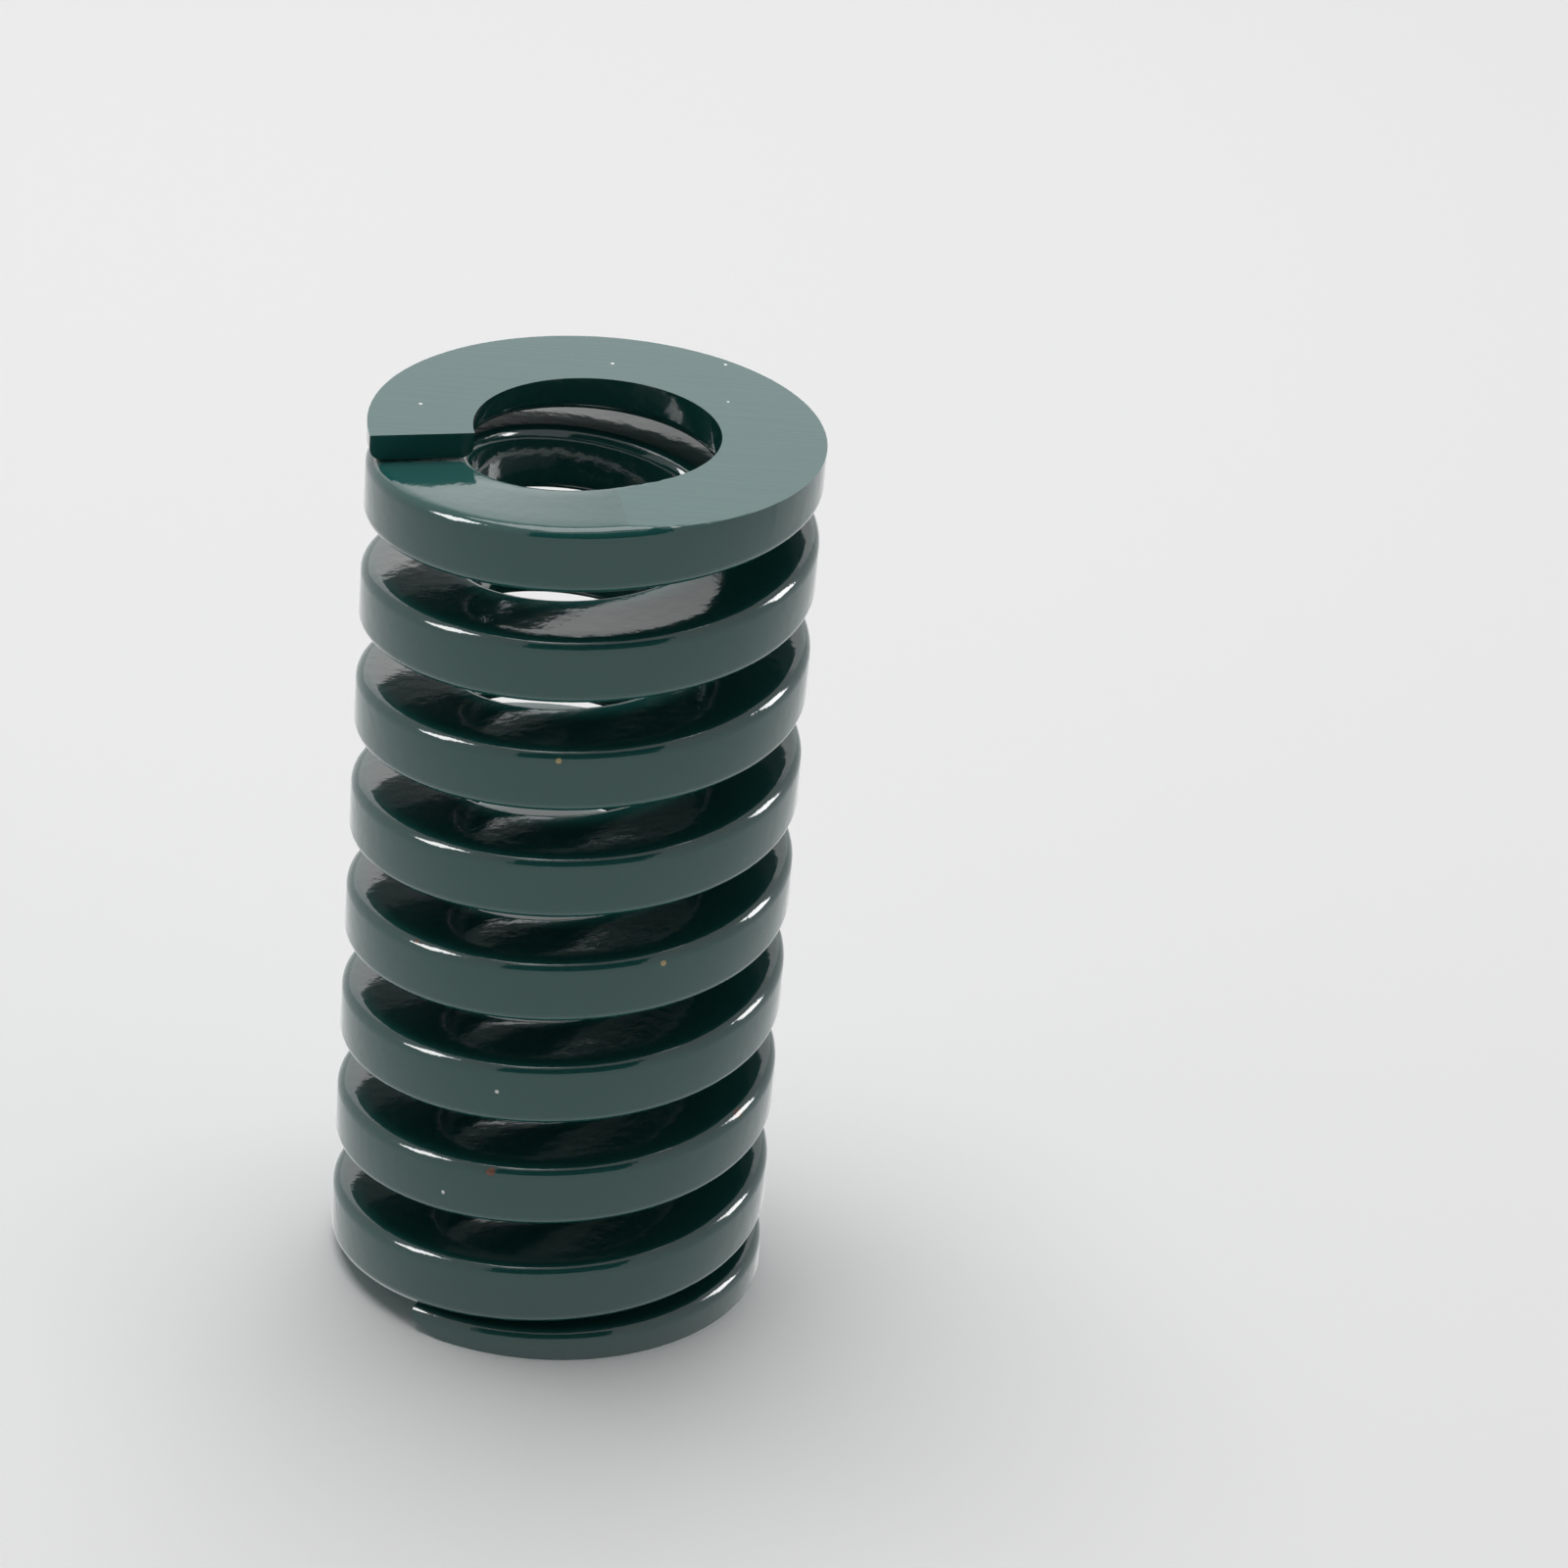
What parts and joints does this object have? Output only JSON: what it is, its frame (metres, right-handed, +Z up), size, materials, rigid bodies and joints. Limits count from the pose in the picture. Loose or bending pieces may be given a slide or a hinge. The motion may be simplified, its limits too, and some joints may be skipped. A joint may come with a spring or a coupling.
{
  "type": "die spring",
  "caption": "Die spring: rectangular-wire compression spring with closed, ground ends that guides on a rod and sits in a drilled pocket.",
  "frame": {"origin": "centre of the bottom ground end, on the spring's axis", "axes": "+Z up along the spring's axis, from the bottom ground end to the top one; the helix climbs anticlockwise seen from above"},
  "size_m": [0.024, 0.024, 0.05],
  "materials": {
    "die_spring": "glossy dark green enamel over spring steel; ground ends only thinly coated and lighter grey-green"
  },
  "bodies": {
    "root": {"die_spring": "die_spring"}
  },
  "joints": []
}
